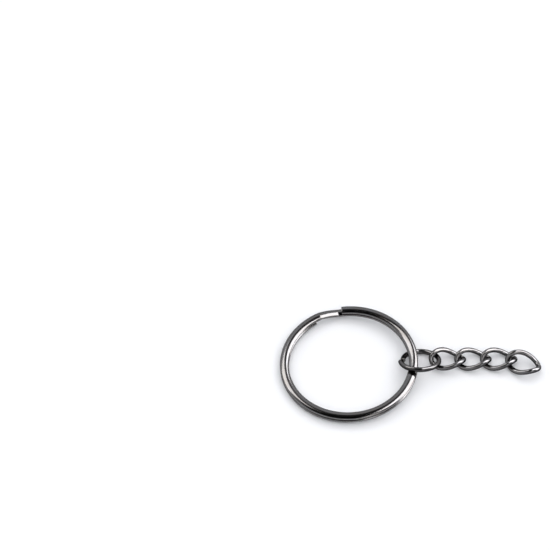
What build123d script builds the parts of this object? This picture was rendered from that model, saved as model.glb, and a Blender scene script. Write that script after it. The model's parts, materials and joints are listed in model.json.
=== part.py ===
from build123d import *
import os
from math import cos, degrees, hypot, pi, radians, sin, tan

# Split key ring with a jump ring and four links of curb chain, lying on a table.
# Millimetres, +Z up. The origin is the middle of the split ring, and +X runs along the chain.
# Every piece is one bent wire.

# ---- driving dimensions ----

# Split ring: one strip of spring wire wound twice round.
RING_OUTSIDE = 28.0          # outside diameter, the size that the ring is sold by
STRIP_WIDTH = 1.8            # across the strip, along the ring's radius
STRIP_HEIGHT = 0.8           # of one turn, along the ring's axis
STRIP_CORNER = 0.36          # radius of the strip's rounded corners
SLIT = 0.04                  # between the two turns, where a key is threaded on
UPPER_END = 95.8             # degrees round the ring from +X: the upper turn's cut end
LOWER_END = 121.5            # the lower turn's cut end
JOG_FOOT = 98.5              # where the jog reaches the lower turn's level
JOG_HEAD = 117.0             # where the jog leaves the upper turn's level
JOG_STEPS = 6                # even steps that the jog is lofted in
RING_TILT = 3.05             # the ring leans on the jump ring, which passes under it
RING_TILT_TOWARDS = 14.5     # degrees round from +X to the ring's highest point

# Jump ring: one round wire, with a butt joint whose ends don't quite meet in line.
JUMP_WIRE = 1.0
JUMP_RADIUS = 3.88           # of the wire's centre line
JUMP_CENTRE = (14.34, 0.38, 2.16)    # its Z is counted from the table
JUMP_TILT = -25.6            # about X: its side towards -Y passes over the split ring
JUMP_ROLL = -0.9             # about its own Y
JUMP_CUT = 184.0             # degrees round the jump ring from +X
JUMP_CLOSING_START = 62.0    # where the last stretch starts to turn inwards
JUMP_CLOSING_RADIUS = 3.54   # of that last stretch
BUTT_GAP = 0.08              # between the cut ends of a jump ring or a link

# Curb links: one round wire, oval and twisted about the chain's line.
LINK_WIRE = 1.0
LINK_HALF_LENGTH = 3.32      # of the wire's centre line
LINK_HALF_WIDTH = 2.15
LINK_TWIST = 38.0            # degrees that each end is turned from the link's middle
LINK_CUT = 18.0              # degrees round the link from its far end
LINK_CORNERS = 12            # bends that the link's wire is rolled in
BEND_SHARE = 0.45            # of the shorter run beside a bend that the bend's arc takes up

# How the links lie: each one's middle, with Z counted from the table, then its yaw, pitch and
# roll in degrees. The first is propped on the jump ring, two lie flat in line, and the last lies
# bent towards -Y.
LINK_POSES = (
    ((19.98, 1.22, 1.49), 2.1, 4.8, 0.8),
    ((25.20, 1.42, 1.19), 0.0, 0.0, 0.0),
    ((30.42, 1.42, 1.19), 0.0, 0.0, 0.0),
    ((35.30, 0.30, 1.50), -22.0, 0.0, 12.0),
)

# ---- sizes worked out from them ----

RING_RADIUS = (RING_OUTSIDE - STRIP_WIDTH) / 2
TURN_OFFSET = (STRIP_HEIGHT + SLIT) / 2
STACK_HEIGHT = 2 * STRIP_HEIGHT + SLIT
TABLE = -(STACK_HEIGHT * cos(radians(RING_TILT)) + RING_OUTSIDE * sin(radians(RING_TILT))) / 2


def on_table(point):
    """A point whose Z is counted from the table, in the part's own frame."""
    return (point[0], point[1], point[2] + TABLE)


def tilted_ring_plane():
    """The plane between the split ring's two turns, with its X axis on the table's +X side."""
    towards = radians(RING_TILT_TOWARDS)
    lean = radians(RING_TILT)
    normal = Vector(-sin(lean) * cos(towards), -sin(lean) * sin(towards), cos(lean))
    return Plane(origin=(0, 0, 0), x_dir=(cos(lean), 0, sin(lean) * cos(towards)), z_dir=normal)


def strip_plane(ring_plane, angle, level):
    """The plane across the strip at an angle round the ring: X outwards, Y along the axis."""
    turn = radians(angle)
    outwards = ring_plane.x_dir * cos(turn) + ring_plane.y_dir * sin(turn)
    middle = ring_plane.origin + outwards * RING_RADIUS + ring_plane.z_dir * level
    return Plane(origin=middle, x_dir=outwards, z_dir=outwards.cross(ring_plane.z_dir))


def jog_level(angle):
    """Height of the strip's middle along the jog, a straight ramp between the two levels."""
    share = (angle - JOG_FOOT) / (JOG_HEAD - JOG_FOOT)
    return TURN_OFFSET * (2 * share - 1)


def support(normal_angle):
    """Distance from an oval link's middle to its tangent line with this normal."""
    return hypot(LINK_HALF_LENGTH * cos(normal_angle), LINK_HALF_WIDTH * sin(normal_angle))


def twisted(x, y):
    """A point of the flat oval, turned about the link's long axis by the curb twist."""
    turn = -radians(LINK_TWIST) * x / LINK_HALF_LENGTH
    return (x, y * cos(turn), y * sin(turn))


def link_route():
    """Corners of the link's wire, from one side of the cut round to the other side of it.

    The corners are where neighbouring tangent lines of the oval meet, and the two ends are on
    the tangent at the cut, half the butt gap each side of it.
    """
    step = 2 * pi / LINK_CORNERS
    normals = [radians(LINK_CUT) + step * i for i in range(LINK_CORNERS + 1)]
    corners = []
    for first, second in zip(normals, normals[1:]):
        determinant = sin(second - first)
        x = (support(first) * sin(second) - support(second) * sin(first)) / determinant
        y = (support(second) * cos(first) - support(first) * cos(second)) / determinant
        corners.append((x, y))
    cut = normals[0]
    cut_x = LINK_HALF_LENGTH ** 2 * cos(cut) / support(cut)
    cut_y = LINK_HALF_WIDTH ** 2 * sin(cut) / support(cut)
    along = (-sin(cut) * BUTT_GAP / 2, cos(cut) * BUTT_GAP / 2)
    start = (cut_x + along[0], cut_y + along[1])
    end = (cut_x - along[0], cut_y - along[1])
    return [twisted(x, y) for x, y in [start, *corners, end]]


def bend_radii(route):
    """The radius of the wire's arc at each corner of its route, from the two runs beside it."""
    radii = []
    for before, corner, after in zip(route, route[1:], route[2:]):
        run_in = Vector(*corner) - Vector(*before)
        run_out = Vector(*after) - Vector(*corner)
        half_turn = radians(run_in.get_angle(run_out)) / 2
        radii.append(BEND_SHARE * min(run_in.length, run_out.length) / tan(half_turn))
    return radii


def link_plane(middle, yaw, pitch, roll):
    """The plane of a link's flat oval, with its X axis along the link."""
    return Plane(origin=on_table(middle)).rotated((yaw, pitch, roll), Intrinsic.ZYX)


os.makedirs("parts", exist_ok=True)

# ---- split_ring: two turns of one strip, and the jog that joins them ----

ring_plane = tilted_ring_plane()
ring_axis = Axis(ring_plane.origin, ring_plane.z_dir)
jog_angles = [JOG_HEAD + (JOG_FOOT - JOG_HEAD) * i / JOG_STEPS for i in range(JOG_STEPS + 1)]

with BuildPart() as split_ring:
    # Upper turn, from its cut end round to the head of the jog.
    with BuildSketch(strip_plane(ring_plane, JOG_HEAD, TURN_OFFSET)):
        RectangleRounded(STRIP_WIDTH, STRIP_HEIGHT, STRIP_CORNER)
    revolve(axis=ring_axis, revolution_arc=360 - JOG_HEAD + UPPER_END)
    # Lower turn, from its cut end round to the foot of the jog.
    with BuildSketch(strip_plane(ring_plane, LOWER_END, -TURN_OFFSET)):
        RectangleRounded(STRIP_WIDTH, STRIP_HEIGHT, STRIP_CORNER)
    revolve(axis=ring_axis, revolution_arc=360 - LOWER_END + JOG_FOOT)
    # The jog, through a strip section every few degrees.
    for angle in jog_angles:
        with BuildSketch(strip_plane(ring_plane, angle, jog_level(angle))):
            RectangleRounded(STRIP_WIDTH, STRIP_HEIGHT, STRIP_CORNER)
    loft()
split_ring.part.label = "split_ring"
export_step(split_ring.part, "parts/split_ring.step")

# ---- jump_ring: one turn of round wire, closing slightly inwards at its last stretch ----

jump_plane = Plane(origin=on_table(JUMP_CENTRE)).rotated((JUMP_TILT, JUMP_ROLL, 0))
cut_half_gap = degrees(BUTT_GAP / 2 / JUMP_RADIUS)
closing_shift = JUMP_RADIUS - JUMP_CLOSING_RADIUS
closing_centre = (closing_shift * cos(radians(JUMP_CLOSING_START)),
                  closing_shift * sin(radians(JUMP_CLOSING_START)))

with BuildPart() as jump_ring:
    with BuildLine(jump_plane) as jump_path:
        CenterArc((0, 0), JUMP_RADIUS, JUMP_CUT + cut_half_gap,
                  JUMP_CLOSING_START + 360 - JUMP_CUT - cut_half_gap)
        CenterArc(closing_centre, JUMP_CLOSING_RADIUS, JUMP_CLOSING_START,
                  JUMP_CUT - JUMP_CLOSING_START - cut_half_gap)
    jump_wire_path = jump_path.wires()[0]
    with BuildSketch(Plane(origin=jump_wire_path @ 0, z_dir=jump_wire_path % 0)):
        Circle(JUMP_WIRE / 2)
    sweep(path=jump_wire_path)
jump_ring.part.label = "jump_ring"
export_step(jump_ring.part, "parts/jump_ring.step")

# ---- chain_link_1 to chain_link_4 ----

route = link_route()
radii = bend_radii(route)

for number, pose in enumerate(LINK_POSES, start=1):
    with BuildPart() as link:
        with BuildLine(link_plane(*pose)) as link_path:
            FilletPolyline(*route, radius=radii)
        link_wire_path = link_path.wires()[0]
        with BuildSketch(Plane(origin=link_wire_path @ 0, z_dir=link_wire_path % 0)):
            Circle(LINK_WIRE / 2)
        sweep(path=link_wire_path)
    link.part.label = f"chain_link_{number}"
    export_step(link.part, f"parts/chain_link_{number}.step")
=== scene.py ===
"""Looks of a split key ring with a jump ring and four links of curb chain, in black nickel.

Every piece is one bent wire, so every piece is a swept section. Each one is made again here at a
fine resolution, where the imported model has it, and stands for its CAD node. Metres, +Z up, with
the origin in the middle of the split ring.
"""
import json
import math

import bpy
import numpy as np
from mathutils import Matrix, Vector, noise


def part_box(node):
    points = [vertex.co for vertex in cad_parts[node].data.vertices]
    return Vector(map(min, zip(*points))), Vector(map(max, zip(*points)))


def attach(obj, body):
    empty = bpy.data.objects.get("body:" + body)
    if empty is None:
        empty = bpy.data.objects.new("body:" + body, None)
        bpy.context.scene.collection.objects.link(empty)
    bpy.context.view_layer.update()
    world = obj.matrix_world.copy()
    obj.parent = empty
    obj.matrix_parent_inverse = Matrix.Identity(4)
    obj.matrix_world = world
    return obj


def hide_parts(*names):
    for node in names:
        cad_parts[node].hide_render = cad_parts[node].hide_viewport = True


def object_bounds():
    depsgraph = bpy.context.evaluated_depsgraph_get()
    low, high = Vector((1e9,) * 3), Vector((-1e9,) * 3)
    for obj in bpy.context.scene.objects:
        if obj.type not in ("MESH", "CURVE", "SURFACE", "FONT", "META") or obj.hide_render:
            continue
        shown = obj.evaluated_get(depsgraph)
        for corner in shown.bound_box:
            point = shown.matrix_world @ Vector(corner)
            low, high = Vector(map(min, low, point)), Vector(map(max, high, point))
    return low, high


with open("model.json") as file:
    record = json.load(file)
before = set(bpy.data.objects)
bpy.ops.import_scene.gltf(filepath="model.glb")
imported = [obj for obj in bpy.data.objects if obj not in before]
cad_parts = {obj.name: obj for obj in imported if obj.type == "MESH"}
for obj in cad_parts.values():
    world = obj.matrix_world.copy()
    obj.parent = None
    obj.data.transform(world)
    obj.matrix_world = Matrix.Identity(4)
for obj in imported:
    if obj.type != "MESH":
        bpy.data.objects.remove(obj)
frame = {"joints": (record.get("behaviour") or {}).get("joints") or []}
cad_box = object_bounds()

MM = 0.001

# ---- split ring: one strip wound twice round ----
RING_OUTSIDE = 28.0 * MM
STRIP_WIDTH = 1.8 * MM
STRIP_HEIGHT = 0.8 * MM
SLIT = 0.04 * MM
STRIP_ROUNDNESS = 2.15            # exponent of the strip's superellipse: 2 is an ellipse
LOWER_END = 121.5                 # degrees round the ring from +X: the lower turn's cut end
UPPER_END = 95.8                  # the upper turn's cut end
JOG_FOOT = 98.5                   # the strip climbs from the lower turn to the upper one
JOG_HEAD = 117.0                  # between these two
JOG_BEND = 0.09                   # share of the jog that each of its two bends takes up
RING_RADIUS = (RING_OUTSIDE - STRIP_WIDTH) / 2
TURN_OFFSET = (STRIP_HEIGHT + SLIT) / 2
STRIP_LEANS = (                   # where the strip leans, in degrees: round, reach, and inwards
    (20.0, 25.0, 11.0),
    (183.0, 20.0, -4.0),
)

# ---- jump ring: one round wire with a butt joint ----
WIRE = 1.0 * MM
JUMP_RADIUS = 3.88 * MM           # of the wire's centre line
JUMP_TILT = -25.6                 # degrees about X
JUMP_ROLL = -0.9                  # degrees about its own Y
JUMP_CUT = 184.0                  # degrees round from its own X axis
JUMP_CLOSING_START = 62.0         # where its last stretch starts to turn inwards
JUMP_CLOSING_RADIUS = 3.54 * MM
BUTT_GAP = 0.08 * MM

# ---- curb links: one round wire each, oval and twisted ----
LINK_HALF_LENGTH = 3.32 * MM      # of the wire's centre line
LINK_HALF_WIDTH = 2.15 * MM
LINK_TWIST = 38.0                 # degrees that each end is turned from the link's middle
LINK_CUT = 18.0                   # degrees round the link from its far end
LINK_TURNS = (                    # how each link lies, in degrees: yaw, pitch and roll
    (2.1, 4.8, 0.8),
    (0.0, 0.0, 0.0),
    (0.0, 0.0, 0.0),
    (-22.0, 0.0, 12.0),
)

# ---- how finely they are made ----
STRIP_AROUND = 48                 # points round the strip's section
WIRE_AROUND = 28                  # points round a wire's section
JUMP_RING_ALONG = (180, 96)       # sections along the jump ring's first stretch and its last
LINK_ALONG = 220                  # sections along a link
TURN_STEP = 0.8                   # degrees between sections along the split ring
JOG_STEP = 0.16                   # and along its jog
JOG_MARGIN = 2.0                  # degrees each side of the jog that are as fine as it

# ---- what the finish adds, and painted shade under the wires ----
WAVE = 0.0022 * MM                # height of the plated surface's long, shallow waves
RIPPLE_SHARE = 0.45               # of that height, for the shorter ripples on them
WAVES_PER_METRE = 320
WAVES_AROUND = 0.8                # radius, in cells of noise, of the circle read round the wire
RIPPLES_PER_METRE = 1100
RIPPLES_AROUND = 1.3
END_ROUND = 0.05 * MM             # radius of the edge round each cut end
END_HOLLOW = (                    # how the shears hollowed a cut end: share of the section, depth
    (0.86, 0.0),
    (0.6, 0.004 * MM),
    (0.3, 0.006 * MM),
)
END_HOLLOW_MIDDLE = 0.007 * MM    # the hollow's depth at its middle
RIM_WEAR = 0.55                   # how far the plating is rubbed away on the strip's two rims
JUMP_RING_WEAR = 0.5              # on the jump ring's inside
LINK_WEAR = 0.75                  # inside the two ends of each link
CUT_EDGE_WEAR = 0.5               # on the edge of each cut end
CUT_FACE_WEAR = 0.9               # on the face of each cut end
PAINTED_SHADE_LINE = 0.80                # sine of the angle above level, round a wire, where painted shade starts on its underside, and how much lower the sine is where the shade is full
PAINTED_SHADE_EDGE = 0.48                # starts to fade, and how much lower the sine is where it's gone

# ---- view, and the light round the table ----
TABLE = cad_box[0].z
VIEW_ELEVATION = 53.0             # degrees above the table
VIEW_DISTANCE = 0.730
VIEW_ASIDE = (-15.0 * MM, 18.0 * MM)      # the view's middle from the ring's, rightwards and up
LENS = 235.6                      # mm
SENSOR = 36.0                     # mm across
WALL_TOP = 51.0                   # degrees above the horizon where the pale walls end
WALL_SLOPE = 4.0                  # how much higher that is on the far side, and lower on the near
WALL_FADE = 3.0                   # half of the stretch that they end over
WALL_LIGHT = 0.86
CEILING_LIGHT = 0.008
COOL_WHITE = (0.985, 0.985, 1.0)
WARM_WHITE = (1.0, 0.98, 0.95)
WALL_WHITE = (0.95, 0.97, 1.0)


def rotation(x=0.0, y=0.0, z=0.0):
    """Rotation by roll x, then pitch y, then yaw z, in degrees, as a 3 x 3 array."""
    turn = Matrix.Rotation(math.radians(z), 3, "Z")
    turn = turn @ Matrix.Rotation(math.radians(y), 3, "Y")
    turn = turn @ Matrix.Rotation(math.radians(x), 3, "X")
    return np.array(turn)


def unit(vectors):
    """Vectors of length one, along the last axis."""
    return vectors / np.linalg.norm(vectors, axis=-1, keepdims=True)


# ---------------------------------------------------------------- swept wires

def superellipse(width, height, exponent, count):
    """Points round a superellipse, evenly spaced in angle, as an array of (across, up)."""
    angle = np.linspace(0, 2 * math.pi, count, endpoint=False)
    across = np.sign(np.cos(angle)) * np.abs(np.cos(angle)) ** (2 / exponent)
    up = np.sign(np.sin(angle)) * np.abs(np.sin(angle)) ** (2 / exponent)
    return np.stack([across * width / 2, up * height / 2], axis=1)


def arc_length(middles):
    """Distance along a path up to each of its points."""
    steps = np.linalg.norm(np.diff(middles, axis=0), axis=1)
    return np.concatenate([[0.0], np.cumsum(steps)])


def waves(along, around, seed):
    """Height of the plated surface's shallow waves, long along the wire."""
    a, b = math.cos(around), math.sin(around)
    wave = noise.noise(Vector((along * WAVES_PER_METRE + seed, WAVES_AROUND * a, WAVES_AROUND * b)))
    ripple = noise.noise(Vector((along * RIPPLES_PER_METRE, RIPPLES_AROUND * a + seed,
                                 RIPPLES_AROUND * b)))
    return WAVE * (wave + RIPPLE_SHARE * ripple)


def end_profile(radius):
    """How a cut end closes: pairs of (share of the section, distance short of the path's end)."""
    rounding = [(1 - END_ROUND / radius * (1 - math.cos(a)), END_ROUND * (1 - math.sin(a)))
                for a in (0.0, 0.5, 1.0, math.pi / 2)]
    return rounding + list(END_HOLLOW)


def tube_faces(rings, count):
    """The four-sided faces between rings of points, each ring closed on itself."""
    faces = []
    for r in range(rings - 1):
        near, far = r * count, (r + 1) * count
        for k in range(count):
            following = (k + 1) % count
            faces.append((near + k, near + following, far + following, far + k))
    return faces


def sweep(name, middles, across, up, section, seed, wear_and_shade):
    """One wire: the section carried along the path, closed by a sheared face at each end.

    across and up are the section's two directions at each point of the path. Every piece has
    across pointing inwards, so the section's angle 0 is the wire's inner side. wear_and_shade is a
    function of the path's share and that angle: above zero, how far the plating is rubbed away, and
    below zero, how dark the wire is painted as shade.
    """
    path_length = arc_length(middles)
    tangents = unit(np.gradient(middles, axis=0))
    count = len(section)
    angles = np.arctan2(section[:, 1], section[:, 0])
    radius = np.abs(section).max(axis=0).min()
    share = path_length / path_length[-1]
    points, straightened, worn_and_shaded = [], [], []

    def add_ring(i, size, back, rubbed):
        """One loop of the surface, at point i of the path or a little short of it."""
        for k in range(count):
            lift = 1 + waves(path_length[i], angles[k], seed) / radius
            a, b = section[k] * size * lift
            points.append(middles[i] + across[i] * a + up[i] * b - tangents[i] * back)
            straightened.append((path_length[i] - back, a, b))
            # above zero, wear; below zero, painted shade on the wire's underside
            worn_and_shaded.append(max(rubbed, wear_and_shade(share[i], angles[k])))

    last = len(middles) - 1
    closing = [(size, back, CUT_FACE_WEAR if size < 1 else CUT_EDGE_WEAR)
               for size, back in end_profile(radius)]
    for size, back, rubbed in reversed(closing):
        add_ring(0, size, -back, rubbed)
    for i in range(1, last):
        add_ring(i, 1.0, 0.0, -1.0)
    for size, back, rubbed in closing:
        add_ring(last, size, back, rubbed)

    rings = len(points) // count
    faces = tube_faces(rings, count)
    for ring, i, back in ((0, 0, -END_HOLLOW_MIDDLE), (rings - 1, last, END_HOLLOW_MIDDLE)):
        points.append(middles[i] - tangents[i] * back)
        straightened.append((path_length[i], 0.0, 0.0))
        worn_and_shaded.append(CUT_FACE_WEAR)
        for k in range(count):
            edge = (ring * count + k, ring * count + (k + 1) % count)
            faces.append((len(points) - 1, *(edge[::-1] if ring == 0 else edge)))
    return mesh_piece(name, points, faces, straightened, worn_and_shaded)


def mesh_piece(name, points, faces, straightened, worn_and_shaded):
    """A smooth mesh that carries its place on the straightened wire, its wear and its painted shade."""
    mesh = bpy.data.meshes.new(name)
    mesh.from_pydata([tuple(p) for p in points], [], faces)
    mesh.polygons.foreach_set("use_smooth", [True] * len(faces))
    wire = mesh.attributes.new("wire", "FLOAT_VECTOR", "POINT")
    wire.data.foreach_set("vector", np.array(straightened, np.float32).ravel())
    wear_and_shade = mesh.attributes.new("wear_and_shade", "FLOAT", "POINT")
    wear_and_shade.data.foreach_set("value", np.array(worn_and_shaded, np.float32))
    mesh.update()
    piece = bpy.data.objects.new(name, mesh)
    bpy.context.scene.collection.objects.link(piece)
    return piece


# ---------------------------------------------------------------- the pieces

def jog_share(share):
    """How far up the jog the strip has climbed: straight, with a short round bend at each end."""
    share = min(max(share, 0.0), 1.0)
    slope = 1 / (1 - JOG_BEND)
    if share < JOG_BEND:
        return slope * share ** 2 / (2 * JOG_BEND)
    if share > 1 - JOG_BEND:
        return 1 - slope * (1 - share) ** 2 / (2 * JOG_BEND)
    return slope * (share - JOG_BEND / 2)


def strip_lean(angle):
    """Angle, in radians, that the strip leans inwards: it is wound with a slight twist."""
    lean = 0.0
    for middle, reach, most in STRIP_LEANS:
        away = (angle - middle + 180) % 360 - 180
        lean += most * math.exp(-(away / reach) ** 2)
    return math.radians(lean)


def split_ring():
    """The strip, from the lower turn's cut end twice round to the upper turn's."""
    joint = next(j for j in frame["joints"] if j["child"] == "jump_ring")
    axis = unit(np.array(joint["axis"], float))
    middle = np.array(joint["pos_m"], float)
    x_axis = unit(np.array([axis[2], 0.0, -axis[0]]))
    y_axis = np.cross(axis, x_axis)
    fine_start = 360 + JOG_FOOT - JOG_MARGIN
    fine_end = 360 + JOG_HEAD + JOG_MARGIN
    turns = np.concatenate([
        np.arange(LOWER_END, fine_start, TURN_STEP),
        np.arange(fine_start, fine_end, JOG_STEP),
        np.arange(fine_end, UPPER_END + 720, TURN_STEP),
        [UPPER_END + 720],
    ])
    angle = np.radians(turns)[:, None]
    outwards = x_axis * np.cos(angle) + y_axis * np.sin(angle)
    climbed = [jog_share((t - 360 - JOG_FOOT) / (JOG_HEAD - JOG_FOOT)) for t in turns]
    level = TURN_OFFSET * (2 * np.array(climbed)[:, None] - 1)
    middles = middle + outwards * RING_RADIUS + axis * level
    section = superellipse(STRIP_WIDTH, STRIP_HEIGHT, STRIP_ROUNDNESS, STRIP_AROUND)

    def wear_and_shade(share, around):
        """The rims rub on keys and pockets."""
        return RIM_WEAR * abs(math.cos(around)) ** 14

    lean = np.array([strip_lean(t) for t in turns])[:, None]
    across = -outwards * np.cos(lean) - axis * np.sin(lean)
    up = axis * np.cos(lean) - outwards * np.sin(lean)
    return sweep("split_ring_strip", middles, across, up, section, seed=3.0, wear_and_shade=wear_and_shade)


def painted_underside_shade(around):
    """How dark a spot of round wire is painted as shade: its underside is darkened, its upper side not.
    """
    return min(max((PAINTED_SHADE_LINE - math.sin(around)) / PAINTED_SHADE_EDGE, 0.0), 1.0)


def jump_ring_centre():
    """The middle of the jump ring's first arc, from its node's box."""
    low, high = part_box("jump_ring")
    turn = jump_ring_turn()
    reach_x = JUMP_RADIUS * abs(turn[0, 0]) + WIRE / 2
    reach_y = JUMP_RADIUS * abs(turn[1, 1]) + WIRE / 2
    lift = JUMP_RADIUS * math.hypot(turn[2, 0], turn[2, 1]) + WIRE / 2
    return np.array([high.x - reach_x, low.y + reach_y, high.z - lift])


def jump_ring_turn():
    """The jump ring's rotation: tilted about X, then rolled about its own Y."""
    return rotation(x=JUMP_TILT) @ rotation(y=JUMP_ROLL)


def jump_ring():
    """One turn of round wire whose last stretch closes inwards, so its cut ends don't meet in line."""
    half_gap = math.degrees(BUTT_GAP / 2 / JUMP_RADIUS)
    shift = JUMP_RADIUS - JUMP_CLOSING_RADIUS
    first = np.radians(np.linspace(JUMP_CUT + half_gap, JUMP_CLOSING_START + 360,
                                   JUMP_RING_ALONG[0]))
    last = np.radians(np.linspace(JUMP_CLOSING_START, JUMP_CUT - half_gap, JUMP_RING_ALONG[1])[1:])
    start = math.radians(JUMP_CLOSING_START)
    inner_middle = np.array([math.cos(start), math.sin(start), 0.0]) * shift
    main = np.stack([np.cos(first), np.sin(first), 0 * first], axis=1) * JUMP_RADIUS
    closing = np.stack([np.cos(last), np.sin(last), 0 * last], axis=1) * JUMP_CLOSING_RADIUS
    flat = np.concatenate([main, closing + inner_middle])
    outwards = np.concatenate([unit(main), unit(closing)])
    turn = jump_ring_turn()
    middles = jump_ring_centre() + flat @ turn.T
    section = superellipse(WIRE, WIRE, exponent=2.0, count=WIRE_AROUND)

    def wear_and_shade(share, around):
        """The inside rubs on the split ring and on the first link. The underside is painted dark as
        shade.
        """
        return JUMP_RING_WEAR * max(0.0, math.cos(around)) ** 4 - painted_underside_shade(around)

    return sweep("jump_ring_wire", middles, -outwards @ turn.T,
                 np.broadcast_to(turn[:, 2], middles.shape), section, seed=11.0, wear_and_shade=wear_and_shade)


def chain_link(number, turns):
    """An oval of round wire, twisted about the chain's line, with its cut near the far end."""
    yaw, pitch, roll = turns
    low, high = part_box(f"chain_link_{number}")
    turn = rotation(x=roll, y=pitch, z=yaw)
    half_gap = BUTT_GAP / 2 / LINK_HALF_WIDTH
    start = math.radians(LINK_CUT)
    t = np.linspace(start + half_gap, start + 2 * math.pi - half_gap, LINK_ALONG)
    x = LINK_HALF_LENGTH * np.cos(t)
    y = LINK_HALF_WIDTH * np.sin(t)
    twist = -math.radians(LINK_TWIST) * x / LINK_HALF_LENGTH
    flat = np.stack([x, y * np.cos(twist), y * np.sin(twist)], axis=1)
    tangents = unit(np.gradient(flat, axis=0))
    plane_up = np.stack([0 * t, -np.sin(twist), np.cos(twist)], axis=1)
    outwards = unit(np.cross(tangents, plane_up))
    up = np.cross(outwards, tangents)
    middles = np.array((low + high) / 2) + flat @ turn.T
    section = superellipse(WIRE, WIRE, exponent=2.0, count=WIRE_AROUND)

    def wear_and_shade(share, around):
        """The two ends rub inside, where the neighbours hook in. The underside is painted dark as
        shade.
        """
        at_ends = abs(math.cos(start + share * 2 * math.pi)) ** 6
        return LINK_WEAR * at_ends * max(0.0, math.cos(around)) ** 3 - painted_underside_shade(around)

    return sweep(f"chain_link_{number}_wire", middles, -outwards @ turn.T, up @ turn.T,
                 section, seed=20.0 + 7 * number, wear_and_shade=wear_and_shade)


# ---------------------------------------------------------------- materials

class Nodes:
    """A short way to write a material's node tree."""

    def __init__(self, name):
        self.material = bpy.data.materials.new(name)
        self.material.use_nodes = True
        self.tree = self.material.node_tree
        self.shader = self.tree.nodes["Principled BSDF"]

    def add(self, kind, **values):
        """A node, with its properties and its sockets' values or links."""
        node = self.tree.nodes.new(kind)
        for key, value in values.items():
            if key in node.inputs:
                self.put(node.inputs[key], value)
            else:
                setattr(node, key, value)
        return node

    def put(self, socket, value):
        """Sets a socket, or links it where the value is another socket."""
        if isinstance(value, bpy.types.NodeSocket):
            self.tree.links.new(value, socket)
        else:
            socket.default_value = value

    def combine(self, operation, first, second):
        """A sum or the like of two values."""
        node = self.tree.nodes.new("ShaderNodeMath")
        node.operation = operation
        self.put(node.inputs[0], first)
        self.put(node.inputs[1], second)
        return node.outputs[0]

    def spread(self, value, low, high, to_low, to_high):
        """The value's stretch from low to high, spread evenly over to_low to to_high."""
        node = self.tree.nodes.new("ShaderNodeMapRange")
        self.put(node.inputs["Value"], value)
        node.inputs["From Min"].default_value = low
        node.inputs["From Max"].default_value = high
        node.inputs["To Min"].default_value = to_low
        node.inputs["To Max"].default_value = to_high
        return node.outputs["Result"]

    def noise(self, place, scale, detail=2.0, roughness=0.5):
        """Noise from nought to one, with its scale in cells a metre."""
        node = self.add("ShaderNodeTexNoise", Vector=place, Scale=scale, Detail=detail,
                        Roughness=roughness)
        return node.outputs["Fac"]

    def stretched(self, place, scale):
        """The place with each axis scaled, so that noise read there is drawn out."""
        node = self.add("ShaderNodeVectorMath", operation="MULTIPLY")
        self.put(node.inputs[0], place)
        node.inputs[1].default_value = scale
        return node.outputs[0]

    def mix(self, share, first, second):
        """The first colour, with the given share of the second."""
        node = self.tree.nodes.new("ShaderNodeMix")
        node.data_type = "RGBA"
        self.put(node.inputs["Factor"], share)
        self.put(node.inputs["A"], first)
        self.put(node.inputs["B"], second)
        return node.outputs["Result"]


def tint(shade, red, green, blue):
    """A colour of the given shade, as a socket takes it."""
    return (shade * red, shade * green, shade * blue, 1.0)


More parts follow.
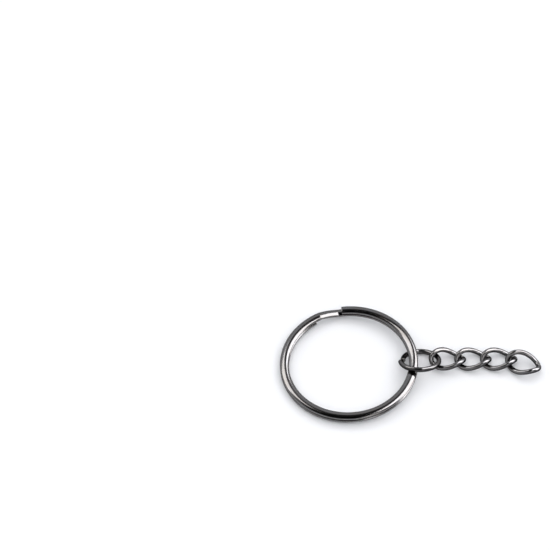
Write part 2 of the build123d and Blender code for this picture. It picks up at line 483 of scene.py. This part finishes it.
def black_nickel(name, shade, polish, tarnish):
    """Polished black nickel: drawing lines along the wire, clouds, pits, rubbed places and painted
    shade.

    shade is how much light the plating reflects, polish its roughness where it is best, and
    tarnish how far its clouds go brown.
    """
    n = Nodes(name)
    wire = n.add("ShaderNodeAttribute", attribute_name="wire").outputs["Vector"]
    # this attribute holds rubbing wear above zero and painted underside shade below zero
    worn_and_shaded = n.add("ShaderNodeAttribute", attribute_name="wear_and_shade").outputs["Fac"]

    # Patterns, drawn out along the wire where drawing or rubbing made them.
    clouds = n.noise(n.stretched(wire, (0.35, 1.0, 1.0)), 900.0, 3.0, 0.6)
    lines = n.noise(n.stretched(wire, (0.035, 1.0, 1.0)), 16000.0, 3.0, 0.6)
    scuffs = n.noise(n.stretched(wire, (0.25, 1.0, 1.0)), 5200.0, 4.0, 0.7)
    grain = n.noise(wire, 42000.0, 2.0, 0.5)
    pits = n.spread(n.noise(wire, 9500.0, 1.0, 0.4), 0.70, 0.76, 0.0, 1.0)

    # Colour.
    plating = n.mix(n.spread(clouds, 0.36, 0.66, 0.0, tarnish),
                    tint(shade, 1.0, 0.98, 1.0), tint(shade, 0.84, 0.77, 0.72))
    plating = n.mix(n.spread(lines, 0.35, 0.65, 0.0, 0.22), plating, tint(shade, 0.72, 0.71, 0.74))
    plating = n.mix(n.combine("MULTIPLY", pits, 0.7), plating, tint(shade, 0.3, 0.3, 0.3))
    # Painted shade: where the attribute is below zero, on the wires' undersides, the plating is
    # darkened.
    plating = n.mix(n.spread(worn_and_shaded, -1.0, 0.0, 0.85, 0.0), plating, tint(shade, 0.16, 0.155, 0.16))
    rubbed = n.combine("ADD", worn_and_shaded, n.spread(scuffs, 0.3, 0.7, -0.45, 0.25))
    rubbed = n.spread(rubbed, 0.35, 0.85, 0.0, 0.8)
    n.put(n.shader.inputs["Base Color"], n.mix(rubbed, plating, tint(shade, 2.0, 1.92, 1.82)))
    n.shader.inputs["Metallic"].default_value = 1.0
    n.shader.inputs["Specular Tint"].default_value = (0.14, 0.14, 0.14, 1.0)

    # Roughness.
    dull = n.spread(clouds, 0.35, 0.7, polish, polish + 0.05)
    dull = n.combine("ADD", dull, n.spread(scuffs, 0.52, 0.75, 0.0, 0.07))
    dull = n.combine("ADD", dull, n.combine("MULTIPLY", pits, 0.2))
    dull = n.combine("ADD", dull, n.combine("MULTIPLY", rubbed, 0.16))
    n.put(n.shader.inputs["Roughness"], dull)

    # Relief.
    height = n.combine("ADD", n.combine("MULTIPLY", lines, 0.5), n.combine("MULTIPLY", grain, 0.12))
    height = n.combine("SUBTRACT", height, n.combine("MULTIPLY", pits, 0.9))
    height = n.combine("ADD", height, n.combine("MULTIPLY", scuffs, 0.5))
    bump = n.add("ShaderNodeBump", Strength=0.35, Distance=0.003 * MM, Height=height)
    n.put(n.shader.inputs["Normal"], bump.outputs["Normal"])
    return n.material


def table_top():
    """Plain white table, a touch uneven in tone."""
    n = Nodes("table_white")
    place = n.add("ShaderNodeTexCoord").outputs["Object"]
    tone = n.noise(place, 9.0, 2.0, 0.5)
    white = n.mix(tone, (0.86, 0.862, 0.875, 1.0), (0.88, 0.882, 0.89, 1.0))
    n.put(n.shader.inputs["Base Color"], white)
    n.shader.inputs["Roughness"].default_value = 0.6
    n.shader.inputs["Specular IOR Level"].default_value = 0.2
    return n.material


# ---------------------------------------------------------------- stage, light and view

def table():
    """A plain pale table under the object."""
    half = 4.0
    mesh = bpy.data.meshes.new("table")
    corners = [(-half, -half, TABLE), (half, -half, TABLE), (half, half, TABLE), (-half, half, TABLE)]
    mesh.from_pydata(corners, [], [(0, 1, 2, 3)])
    mesh.materials.append(table_top())
    floor = bpy.data.objects.new("table", mesh)
    bpy.context.scene.collection.objects.link(floor)


def panel(name, middle, size, tilt, brightness, colour):
    """A soft light: level over the table, or tilted by its degrees to face in from the +X side."""
    light = bpy.data.lights.new(name, "AREA")
    light.shape = "RECTANGLE"
    light.size, light.size_y = size
    light.energy = brightness * math.pi * size[0] * size[1]
    light.color = colour
    lamp = bpy.data.objects.new(name, light)
    lamp.location = middle
    lamp.rotation_euler = (0.0, math.radians(tilt), 0.0)
    lamp.visible_camera = False
    bpy.context.scene.collection.objects.link(lamp)
    return lamp


def lights():
    """Panels that only the metal reflects, and level light that falls only on the table."""
    reflected = (
        panel("key_light", (0.205, 0.118, 0.30), (0.31, 0.285), 0, 6.5, COOL_WHITE),
        panel("fill_light", (-0.24, 0.165, 0.30), (0.32, 0.15), 0, 4.2, WARM_WHITE),
        panel("side_light", (0.29, 0.02, 0.135), (0.14, 0.24), 62, 6.4, COOL_WHITE),
        panel("near_light", (0.13, -0.255, 0.30), (0.12, 0.21), 0, 2.8, COOL_WHITE),
    )
    for lamp in reflected:
        lamp.visible_diffuse = False
    table_light = panel("table_light", (0.4, 0.1, 1.3), (2.4, 2.4), 0, 1.30, COOL_WHITE)
    table_light.visible_glossy = False
    shadow_lift = panel("shadow_lift", (0.0, 0.0, 1.3), (2.4, 2.4), 0, 0.64, COOL_WHITE)
    shadow_lift.visible_glossy = False
    shadow_lift.data.use_shadow = False


def room():
    """Pale walls up to WALL_TOP, higher on the far side, and a dark ceiling above them."""
    world = bpy.data.worlds.new("room")
    world.use_nodes = True
    tree = world.node_tree
    direction = tree.nodes.new("ShaderNodeTexCoord").outputs["Generated"]
    slope = math.radians(WALL_SLOPE)
    height = tree.nodes.new("ShaderNodeVectorMath")
    height.operation = "DOT_PRODUCT"
    tree.links.new(direction, height.inputs[0])
    height.inputs[1].default_value = (0.0, -math.sin(slope), math.cos(slope))
    strength = tree.nodes.new("ShaderNodeMapRange")
    strength.interpolation_type = "SMOOTHSTEP"
    strength.inputs["From Min"].default_value = math.sin(math.radians(WALL_TOP - WALL_FADE))
    strength.inputs["From Max"].default_value = math.sin(math.radians(WALL_TOP + WALL_FADE))
    strength.inputs["To Min"].default_value = WALL_LIGHT
    strength.inputs["To Max"].default_value = CEILING_LIGHT
    tree.links.new(height.outputs["Value"], strength.inputs["Value"])
    background = tree.nodes["Background"]
    background.inputs["Color"].default_value = (*WALL_WHITE, 1.0)
    tree.links.new(strength.outputs["Result"], background.inputs["Strength"])
    bpy.context.scene.world = world
    bpy.context.scene.view_settings.view_transform = "Standard"


def camera():
    """The view: from the near side, well above the table, with the ring low and right of its middle."""
    elevation = math.radians(VIEW_ELEVATION)
    forward = Vector((0.0, math.cos(elevation), -math.sin(elevation)))
    upward = Vector((0.0, math.sin(elevation), math.cos(elevation)))
    data = bpy.data.cameras.new("camera")
    data.lens = LENS
    data.sensor_width = SENSOR
    eye = bpy.data.objects.new("camera", data)
    eye.location = Vector((VIEW_ASIDE[0], 0, 0)) + upward * VIEW_ASIDE[1] - forward * VIEW_DISTANCE
    eye.rotation_euler = (math.radians(90 - VIEW_ELEVATION), 0.0, 0.0)
    bpy.context.scene.collection.objects.link(eye)
    bpy.context.scene.camera = eye


def finish_piece(piece, node, material):
    """Gives a piece its material, its body and the CAD node that it stands for."""
    piece.data.materials.append(material)
    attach(piece, node)
    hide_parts(node)


camera()
room()
table()
lights()

ring_metal = black_nickel("ring_black_nickel", shade=0.175, polish=0.09, tarnish=0.7)
jump_ring_metal = black_nickel("jump_ring_black_nickel", shade=0.16, polish=0.08, tarnish=0.5)
chain_metal = black_nickel("chain_black_nickel", shade=0.20, polish=0.065, tarnish=0.6)
finish_piece(split_ring(), "split_ring", ring_metal)
finish_piece(jump_ring(), "jump_ring", jump_ring_metal)
for number, turns in enumerate(LINK_TURNS, start=1):
    finish_piece(chain_link(number, turns), f"chain_link_{number}", chain_metal)
